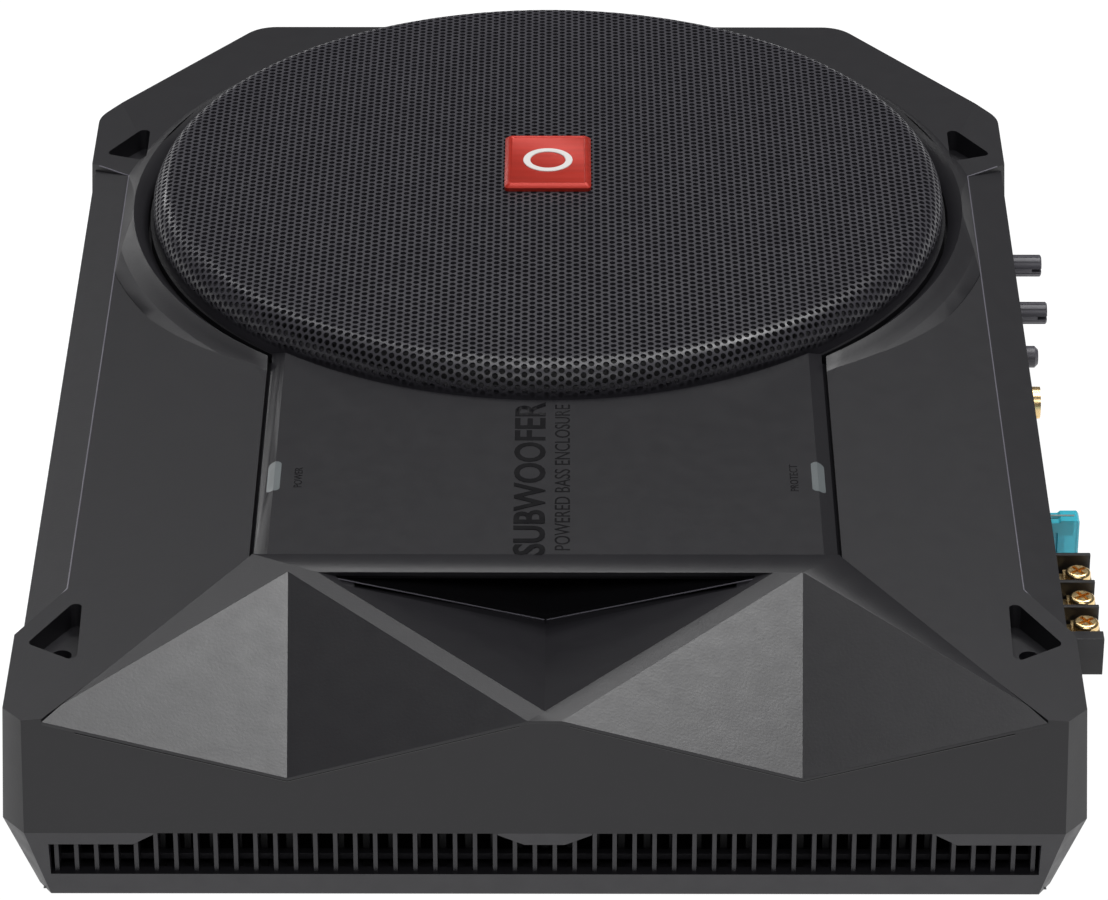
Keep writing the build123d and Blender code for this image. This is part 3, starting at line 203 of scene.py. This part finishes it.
def make(name, vertices, faces, slot, body="enclosure"):
    """A closed piece from points and faces, riding on a body unless it is None."""
    mesh = bpy.data.meshes.new(name)
    mesh.from_pydata([tuple(v) for v in vertices], [], [tuple(f) for f in faces])
    mesh.update()
    face_out(mesh)
    mesh.shade_smooth()
    mesh.set_sharp_from_angle(angle=math.radians(SMOOTH_ANGLE))
    mesh.materials.append(MATERIALS[slot])
    obj = bpy.data.objects.new(name, mesh)
    bpy.context.scene.collection.objects.link(obj)
    if body:
        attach(obj, body)
    return obj


def soften(node, width, join=True):
    """Rounds a CAD node's sharp edges by width in mm, with its flat triangles joined first if join is set."""
    obj = NODES[node]
    weld = obj.modifiers.new("weld", "WELD")
    weld.merge_threshold = WELD_GAP
    if join:
        flat = obj.modifiers.new("flat", "DECIMATE")
        flat.decimate_type = "DISSOLVE"
        flat.angle_limit = math.radians(JOIN_ANGLE)
    bevel = obj.modifiers.new("bevel", "BEVEL")
    bevel.width = width * MM
    bevel.segments = BEVEL_SEGMENTS
    bevel.limit_method = "ANGLE"
    bevel.angle_limit = math.radians(BEVEL_ANGLE)
    bevel.harden_normals = True
    bevel.miter_outer = "MITER_ARC"


def loft(loops, close=True):
    """Points and faces through equal loops, with the last joined to the first, or else both ends capped."""
    count = len(loops[0])
    vertices = [p for loop in loops for p in loop]
    faces = []
    steps = len(loops) if close else len(loops) - 1
    for i in range(steps):
        a, b = i * count, (i + 1) % len(loops) * count
        faces += [(a + k, a + (k + 1) % count, b + (k + 1) % count, b + k) for k in range(count)]
    if not close:
        faces.append(tuple(reversed(range(count))))
        faces.append(tuple(range(len(vertices) - count, len(vertices))))
    return vertices, faces


for node, width in (("top_shell", 0.6), ("center_cover", 0.3)):
    soften(node, width)
for node in ("terminal_block", "fuse_body", "remote_jack", "speaker_in_socket", "fuse_holder"):
    soften(node, 0.15)
# these two have faces with too many holes to be joined
for node, width in (("bottom_tray", 0.6), ("control_panel", 0.15)):
    soften(node, width, join=False)

# ---- moulded edges: thin round beads along the ridges and rims, which catch the lamps' light and carry a painted highlight in their light grey ----


def tree_of(node):
    """The faces of a CAD node, for finding places on it."""
    mesh = NODES[node].data
    return BVHTree.FromPolygons([v.co for v in mesh.vertices], [p.vertices[:] for p in mesh.polygons])


SHELL_TREE = tree_of("top_shell")
COVER_TREE = tree_of("center_cover")
ABOVE, IN_FRONT = 0.2, -0.3  # where rays start, clear of the enclosure
BEAD_SIDES = 8


def drop_to(tree, x, y):
    """Height of the highest face at a spot."""
    return tree.ray_cast(Vector((x, y, ABOVE)), Vector((0, 0, -1)))[0].z


def front_spot(x, z):
    """The foremost point of the shell or the cover at x and z in mm."""
    start = Vector((x * MM, IN_FRONT, z * MM))
    hits = [tree.ray_cast(start, Vector((0, 1, 0)))[0] for tree in (SHELL_TREE, COVER_TREE)]
    return min((hit for hit in hits if hit), key=lambda hit: hit.y)


def steps_between(spots, steps):
    """Pairs of numbers in even steps from each spot to the next, without the last spot."""
    return [(a0 + (a1 - a0) * k / steps, b0 + (b1 - b0) * k / steps)
            for (a0, b0), (a1, b1) in zip(spots, spots[1:]) for k in range(steps)]


def bead(name, path, radius, slot):
    """A round bead of a radius in mm along a path of points."""
    path = [Vector(p) for p in path]
    turns = [2 * math.pi * k / BEAD_SIDES for k in range(BEAD_SIDES)]
    loops = []
    for i, point in enumerate(path):
        before = (point - path[i - 1]).normalized() if i else (path[1] - point).normalized()
        after = (path[i + 1] - point).normalized() if i + 1 < len(path) else before
        along = (before + after).normalized()
        across = along.cross(Vector((0, 0, 1))).normalized()
        up = across.cross(along)
        loops.append([point + radius * MM * (math.cos(turn) * across + math.sin(turn) * up) for turn in turns])
    make(name, *loft(loops, close=False), slot)


# all in mm: x, y along the ridge between the shell's top and side; x, y, z along the port mouth's rim; x, z
# along the facets' front edge, with the painted shadow line along the seam that far below it
RIDGE = ((122.6, 90.6), (114.0, 83.6), (114.0, -118.8), (122.9, -133.5))
RIM = ((52.4, -119.5, 56.3), (26.2, -119.7, 50.3), (0.3, -119.9, 44.35))
FACET_EDGE = ((5.9, 50.2), (59.5, 35.4), (115.0, 50.1))
SEAM_SHADOW_FALL = 1.15
RIDGE_BEAD_R, RIM_BEAD_R, SEAM_SHADOW_R = 0.17, 0.16, 0.26
RIDGE_STEPS, SEAM_SHADOW_STEPS = 6, 8

SIDES = ((-1, "left"), (1, "right"))
# the ridge and rim beads are light grey, a painted highlight
for side, word in SIDES:
    spots = [(x * side * MM, y * MM) for x, y in steps_between(RIDGE, RIDGE_STEPS) + [RIDGE[-1]]]
    ridge = [(x, y, drop_to(SHELL_TREE, x, y)) for x, y in spots]
    bead(f"ridge_bead_{word}", ridge, RIDGE_BEAD_R, "edge_sheen")
    bead(f"mouth_bead_{word}", [(x * side * MM, y * MM, z * MM) for x, y, z in RIM], RIM_BEAD_R, "edge_sheen")
# a thin near-black bead just below the facets' front edge: a painted shadow line along the seam under the
# cover's lip
for side, word in SIDES:
    painted_seam_shadow = [front_spot(x * side, z - SEAM_SHADOW_FALL) for x, z in steps_between(FACET_EDGE, SEAM_SHADOW_STEPS)]
    bead(f"seam_{word}", painted_seam_shadow, SEAM_SHADOW_R, "label_ink")

# ---- grille: a pressed sheet of round holes ----

mesh_low, mesh_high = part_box("grille_mesh")
CENTRE = ((mesh_low.x + mesh_high.x) / 2, (mesh_low.y + mesh_high.y) / 2)
GRILLE_R = (mesh_high.x - mesh_low.x) / 2
SHOULDER_R = 7.0 * MM
CROWN_R = GRILLE_R - SHOULDER_R
CROWN_DROP = 2.2 * MM  # how far the crown falls from its middle to the shoulder
SHEET_T = 0.8 * MM
HOLE_PITCH = 2.16 * MM
HOLE_R = 0.80 * MM
HOLE_SIDES = 12
PUNCHED_TO = CROWN_R + 12.6 * MM  # along the sheet, from its middle to the last holes
HEM_FROM = CROWN_R + 12.2 * MM  # along the sheet, from its middle to the plain hem
HEM_EXTRA = 0.1 * MM  # the hem is this much thicker than the sheet
HEM_SEGMENTS = 288
HEM_STEPS = 5
SECTORS = 4


def on_sheet(distance, angle, sink):
    """Points of the pressed sheet, at a distance from the middle along it and sunk under its face."""
    crown = distance < CROWN_R
    turn = np.where(crown, 0, np.minimum((distance - CROWN_R) / SHOULDER_R, math.pi / 2))
    fall = np.maximum(distance - CROWN_R - SHOULDER_R * math.pi / 2, 0)
    lean = np.where(crown, 2 * CROWN_DROP * distance / CROWN_R ** 2, turn)
    radius = np.where(crown, distance, CROWN_R + SHOULDER_R * np.sin(turn)) - sink * np.sin(lean)
    crown_z = mesh_high.z - CROWN_DROP * (distance / CROWN_R) ** 2
    shoulder_z = mesh_high.z - CROWN_DROP - SHOULDER_R * (1 - np.cos(turn)) - fall
    height = np.where(crown, crown_z, shoulder_z) - sink * np.cos(lean)
    return np.column_stack((CENTRE[0] + radius * np.cos(angle), CENTRE[1] + radius * np.sin(angle), height))


def punched_sector(index):
    """One sector of the sheet, closed: each six-sided cell has a round hole through it."""
    column = HOLE_PITCH * math.sqrt(3) / 2
    reach = int(PUNCHED_TO / column) + 2
    columns, rows = np.meshgrid(np.arange(-reach, reach + 1), np.arange(-reach, reach + 1), indexing="ij")
    x = (columns * column).ravel()
    y = (rows * HOLE_PITCH + (columns % 2) * HOLE_PITCH / 2).ravel()
    sector = ((np.arctan2(y, x) + math.pi) / (2 * math.pi / SECTORS)).astype(int) % SECTORS
    keep = (np.hypot(x, y) < PUNCHED_TO) & (sector == index)
    x, y = x[keep], y[keep]
    cells = len(x)
    corner_angle = np.arange(6) * math.pi / 3
    corner_r = HOLE_PITCH / math.sqrt(3)
    corner_x = (x[:, None] + corner_r * np.cos(corner_angle)).ravel()
    corner_y = (y[:, None] + corner_r * np.sin(corner_angle)).ravel()
    keys = np.column_stack((np.round(corner_x / (corner_r / 2)), np.round(corner_y / (HOLE_PITCH / 2))))
    keys = keys.astype(int)
    shared, first, inverse = np.unique(keys, axis=0, return_index=True, return_inverse=True)
    corner_x, corner_y = corner_x[first], corner_y[first]
    corner = inverse.reshape(cells, 6)
    hole_angle = np.arange(HOLE_SIDES) * 2 * math.pi / HOLE_SIDES
    hole_x = (x[:, None] + HOLE_R * np.cos(hole_angle)).ravel()
    hole_y = (y[:, None] + HOLE_R * np.sin(hole_angle)).ravel()
    hole = len(shared) + np.arange(cells * HOLE_SIDES).reshape(cells, HOLE_SIDES)
    flat_x, flat_y = np.concatenate((corner_x, hole_x)), np.concatenate((corner_y, hole_y))
    distance, angle = np.hypot(flat_x, flat_y), np.arctan2(flat_y, flat_x)
    under = len(flat_x)
    vertices = np.vstack((on_sheet(distance, angle, 0), on_sheet(distance, angle, SHEET_T)))
    faces = []
    edges = set()
    for cell in range(cells):
        c, h = corner[cell], hole[cell]
        for k in range(6):
            a, b = int(c[k]), int(c[(k + 1) % 6])
            h0, h1, h2 = (int(h[(2 * k + step) % HOLE_SIDES]) for step in range(3))
            faces.append((a, b, h2, h1, h0))
            faces.append((h0 + under, h1 + under, h2 + under, b + under, a + under))
            faces.append((h0, h1, h1 + under, h0 + under))
            faces.append((h1, h2, h2 + under, h1 + under))
            edges.add((a, b))
    faces += [(b, a, a + under, b + under) for a, b in edges if (b, a) not in edges]
    return vertices, faces


for sector in range(SECTORS):
    piece = make(f"grille_sheet_{sector + 1}", *punched_sector(sector), "grille_paint")
    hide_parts("grille_mesh")

ring_angles = np.arange(HEM_SEGMENTS) * 2 * math.pi / HEM_SEGMENTS
shoulder_end = CROWN_R + SHOULDER_R * math.pi / 2
hem_to = shoulder_end + (mesh_high.z - CROWN_DROP - SHOULDER_R - mesh_low.z)
hem_run = np.concatenate((np.linspace(HEM_FROM, shoulder_end, HEM_STEPS), [hem_to]))
hem_loops = [on_sheet(np.full(HEM_SEGMENTS, d), ring_angles, 0) for d in hem_run]
hem_loops += [on_sheet(np.full(HEM_SEGMENTS, d), ring_angles, SHEET_T + HEM_EXTRA) for d in reversed(hem_run)]
make("grille_hem", *loft(hem_loops), "grille_paint")

# ---- badge: a bevelled plaque with a plain ring ----

badge_low, badge_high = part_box("badge_plate")
badge_x, badge_y = (badge_low.x + badge_high.x) / 2, (badge_low.y + badge_high.y) / 2
badge_w, badge_l = badge_high.x - badge_low.x, badge_high.y - badge_low.y
FIELD_Z = badge_high.z - 0.35 * MM
CORNER_POINTS = 5
# inset and corner radius in mm, and height, from the foot up over the rounded rim to the sunk field
BADGE_STEPS = (
    (0, 1.2, badge_low.z), (0, 1.2, badge_high.z - 1.0 * MM), (0.25, 1.1, badge_high.z - 0.75 * MM),
    (1.0, 0.9, badge_high.z - 0.06 * MM), (1.25, 0.8, badge_high.z), (1.5, 0.7, badge_high.z - 0.04 * MM),
    (1.8, 0.6, FIELD_Z),
)
RING_IN, RING_OUT = 4.7 * MM, 6.6 * MM
RING_FOOT, RING_TOP = FIELD_Z - 0.1 * MM, badge_high.z - 0.08 * MM
RING_EDGE = 0.12 * MM
RING_SEGMENTS = 64


def plaque_loop(inset, corner, z):
    """The plaque's outline drawn in by an inset, counter-clockwise from above."""
    points = []
    for i, (sx, sy) in enumerate(((1, 1), (-1, 1), (-1, -1), (1, -1))):
        cx = badge_x + sx * (badge_w / 2 - inset - corner)
        cy = badge_y + sy * (badge_l / 2 - inset - corner)
        for k in range(CORNER_POINTS):
            turn = math.pi / 2 * (i + k / (CORNER_POINTS - 1))
            points.append((cx + corner * math.cos(turn), cy + corner * math.sin(turn), z))
    return points


def ring_loop(radius, z):
    """A circle round the badge's middle."""
    turns = [2 * math.pi * k / RING_SEGMENTS for k in range(RING_SEGMENTS)]
    return [(badge_x + radius * math.cos(turn), badge_y + radius * math.sin(turn), z) for turn in turns]


plaque_loops = [plaque_loop(inset * MM, corner * MM, z) for inset, corner, z in BADGE_STEPS]
plaque = make("badge_plaque", *loft(plaque_loops, close=False), "badge_red")
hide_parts("badge_plate")

make("badge_ring", *loft([
    ring_loop(RING_OUT, RING_FOOT), ring_loop(RING_OUT, RING_TOP - RING_EDGE),
    ring_loop(RING_OUT - RING_EDGE, RING_TOP), ring_loop(RING_IN + RING_EDGE, RING_TOP),
    ring_loop(RING_IN, RING_TOP - RING_EDGE), ring_loop(RING_IN, RING_FOOT),
]), "badge_mark")

# ---- lettering on the centre panel: plain words, reading from front to back ----

LETTER_TOP, LETTER_FOOT = 0.04 * MM, -0.05 * MM  # above and below the panel's face
WORDS = (
    # name, words, x from and to, y from and to, all in mm, and how much bolder than the font
    ("panel_title", "SUBWOOFER", -7.9, -0.1, -112.8, -42.6, 0.02),
    ("panel_subtitle", "POWERED BASS ENCLOSURE", 2.1, 5.9, -110.5, -43.9, 0.0),
    ("power_word", "POWER", -61.6, -59.6, -82.5, -73.5, 0.0),
    ("protect_word", "PROTECT", 59.6, 61.6, -84.0, -72.0, 0.0),
)


def lettering(name, words, left_x, right_x, from_y, to_y, weight):
    """Raised letters whose tops face -X, fitted into a box on the panel."""
    curve = bpy.data.curves.new(name, "FONT")
    curve.body = words
    curve.extrude = 0.5
    curve.offset = weight
    curve.resolution_u = 4
    source = bpy.data.objects.new(name, curve)
    mesh = bpy.data.meshes.new_from_object(source)
    bpy.data.objects.remove(source)
    points = np.array([v.co[:] for v in mesh.vertices])
    low, high = points.min(0), points.max(0)
    along, across, depth = ((points - low) / (high - low)).T
    middle = (left_x + right_x) / 2
    z0, z1 = drop_to(COVER_TREE, middle, from_y), drop_to(COVER_TREE, middle, to_y)
    z = z0 + (z1 - z0) * along + np.where(depth > 0.5, LETTER_TOP, LETTER_FOOT)
    spots = np.column_stack((right_x - across * (right_x - left_x), from_y + along * (to_y - from_y), z))
    make(name, spots, [tuple(p.vertices) for p in mesh.polygons], "label_ink")


for name, words, left_x, right_x, from_y, to_y, weight in WORDS:
    lettering(name, words, left_x * MM, right_x * MM, from_y * MM, to_y * MM, weight)

# ---- spider and surround: each cut into sectors that span from the cone to the basket ----

BEND_SECTORS, BEND_STEPS = 12, 8
ARC_STEPS = 12
# all in mm from the driver's axis and the tray's underside: the radius up to which each goes with the cone,
# and that from which it stays with the basket
SPIDER_IN, SPIDER_FLAT_IN, SPIDER_FLAT_OUT, SPIDER_OUT = 19.85, 23.0, 56.5, 60.0
SPIDER_Z, CLOTH_T = 34.0, 0.8
WAVES_FROM, WAVES_TO, WAVE_RISE, WAVES = 24.0, 55.0, 1.1, 10
HEM_Z, HEM_T = 54.5, 1.1
HEM_OUT = 95.2
ROLL_UNDER = ((80.0, 54.5), (86.6, 60.1), (91.6, HEM_Z))
ROLL_OVER = ((93.2, HEM_Z + HEM_T), (86.6, 61.2), (78.4, 55.5))
CONE_HEM = [(76.0, 55.0), (76.0, 54.1)]


def bending_ring(name, profile, slot):
    """Turns a profile of radius and height into sectors."""
    low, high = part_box(name)
    middle = Vector(((low.x + high.x) / 2, (low.y + high.y) / 2, 0))
    width = 2 * math.pi / BEND_SECTORS
    for sector in range(BEND_SECTORS):
        loops = []
        for k in range(BEND_STEPS + 1):
            turn = width * (sector + k / BEND_STEPS - 0.5)
            loops.append([(middle.x + r * MM * math.cos(turn), middle.y + r * MM * math.sin(turn), z * MM)
                          for r, z in profile])
        piece = make(f"{name}_sector_{sector + 1}", *loft(loops, close=False), slot, body=None)
        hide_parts(name)
        # a sector's corners lie nearer the middle, measured along its own radius
        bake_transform(piece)


def arc_points(start, through, end):
    """Points of radius and height on the arc through three points."""
    (ax, az), (bx, bz), (cx, cz) = start, through, end
    twice = 2 * (ax * (bz - cz) + bx * (cz - az) + cx * (az - bz))
    a2, b2, c2 = ax * ax + az * az, bx * bx + bz * bz, cx * cx + cz * cz
    ox = (a2 * (bz - cz) + b2 * (cz - az) + c2 * (az - bz)) / twice
    oz = (a2 * (cx - bx) + b2 * (ax - cx) + c2 * (bx - ax)) / twice
    radius = math.hypot(ax - ox, az - oz)
    from_turn, to_turn = math.atan2(az - oz, ax - ox), math.atan2(cz - oz, cx - ox)
    turns = [from_turn + (to_turn - from_turn) * k / ARC_STEPS for k in range(ARC_STEPS + 1)]
    return [(ox + radius * math.cos(turn), oz + radius * math.sin(turn)) for turn in turns]


wave_step = (WAVES_TO - WAVES_FROM) / WAVES
waves = [(WAVES_FROM + wave_step * (k + 0.5), SPIDER_Z + (WAVE_RISE if k % 2 == 0 else -WAVE_RISE))
         for k in range(WAVES)]
cloth = [(SPIDER_IN, SPIDER_Z), (SPIDER_FLAT_IN, SPIDER_Z), *waves, (SPIDER_FLAT_OUT, SPIDER_Z),
         (SPIDER_OUT, SPIDER_Z)]
spider_profile = cloth[::-1] + [(r, z - CLOTH_T) for r, z in cloth]
bending_ring("spider", spider_profile, "spider_cloth")

basket_hem = [(HEM_OUT, HEM_Z), (HEM_OUT, HEM_Z + HEM_T)]
roll = arc_points(*ROLL_UNDER) + basket_hem + arc_points(*ROLL_OVER) + CONE_HEM
bending_ring("surround", roll[::-1], "surround_rubber")

# ---- camera, floor and lights ----

CAMERA_LENS, SENSOR_WIDTH = 166.1, 36.0  # mm
CAMERA_AT = (0.0043, -1.1498, 0.7023)
CAMERA_TILT = 59.33  # degrees up from straight down
CAMERA_PAN = 0.0022  # radians
CAMERA_NEAR, CAMERA_FAR = 0.05, 50.0

camera = bpy.data.objects.new("camera", bpy.data.cameras.new("camera"))
camera.data.lens = CAMERA_LENS
camera.data.sensor_width = SENSOR_WIDTH
camera.data.clip_start, camera.data.clip_end = CAMERA_NEAR, CAMERA_FAR
camera.location = CAMERA_AT
camera.rotation_euler = (math.radians(CAMERA_TILT), 0, CAMERA_PAN)
bpy.context.scene.collection.objects.link(camera)
bpy.context.scene.camera = camera

# a gap just inside the tray's outline leaves its underside in view from below
FLOOR_GAP = ((0.118, -0.168), (0.118, 0.115), (0.078, 0.171),
             (-0.078, 0.171), (-0.118, 0.115), (-0.118, -0.168))
FLOOR_REACH = 45  # the floor's outer edge is the gap's outline, this many times as large
FLOOR_COLOUR, FLOOR_ROUGH, FLOOR_GLOW = (0.06, 0.06, 0.06), 0.9, 1.0

corners = len(FLOOR_GAP)
rings = [[(x * size, y * size, 0) for x, y in FLOOR_GAP] for size in (FLOOR_REACH, 1)]
strips = [(k, (k + 1) % corners, (k + 1) % corners + corners, k + corners) for k in range(corners)]
floor_mesh = bpy.data.meshes.new("floor")
floor_mesh.from_pydata(rings[0] + rings[1], [], strips)
floor_mesh.materials.append(surface("floor", FLOOR_COLOUR, FLOOR_ROUGH, mottle=0.005, mottle_scale=2, depth=0.0,
                                    Emission_Color=(1, 1, 1, 1), Emission_Strength=FLOOR_GLOW))
floor = bpy.data.objects.new("floor", floor_mesh)
bpy.context.scene.collection.objects.link(floor)

AMBIENT = 0.1
LIGHT_DISTANCE = 2.2
LIGHTS = (
    # name, direction to the light from the object, width, height, radiance
    ("over_back", (0.0, 0.53, 0.85), 0.7, 0.35, 8.0),
    ("over_right", (0.365, 0.30, 0.88), 0.5, 0.5, 24.5),
    ("over_left", (-0.36, 0.58, 0.73), 0.4, 0.4, 7.3),
    ("back_right", (0.30, 0.62, 0.73), 0.4, 0.4, 1.0),
    ("overhead", (0.0, 0.0, 1.0), 0.8, 0.8, 7.0),
    ("low_left", (-0.55, 0.80, 0.25), 0.4, 0.4, 6.0),
    ("front", (0.0, -0.74, 0.67), 1.6, 0.5, 3.5),
)
LIT_POINT = Vector((0, 0, 0.05))
for name, direction, width, height, radiance in LIGHTS:
    light = bpy.data.lights.new(name, "AREA")
    light.shape = "RECTANGLE"
    light.size, light.size_y = width, height
    light.energy = radiance * math.pi * width * height
    lamp = bpy.data.objects.new(name, light)
    way = Vector(direction).normalized()
    lamp.location = LIT_POINT + way * LIGHT_DISTANCE
    lamp.rotation_euler = way.to_track_quat("Z", "Y").to_euler()
    bpy.context.scene.collection.objects.link(lamp)

world = bpy.data.worlds.new("studio")
world.use_nodes = True
world.node_tree.nodes["Background"].inputs["Color"].default_value = (1, 1, 1, 1)
world.node_tree.nodes["Background"].inputs["Strength"].default_value = AMBIENT
bpy.context.scene.world = world
bpy.context.scene.view_settings.view_transform = "Standard"
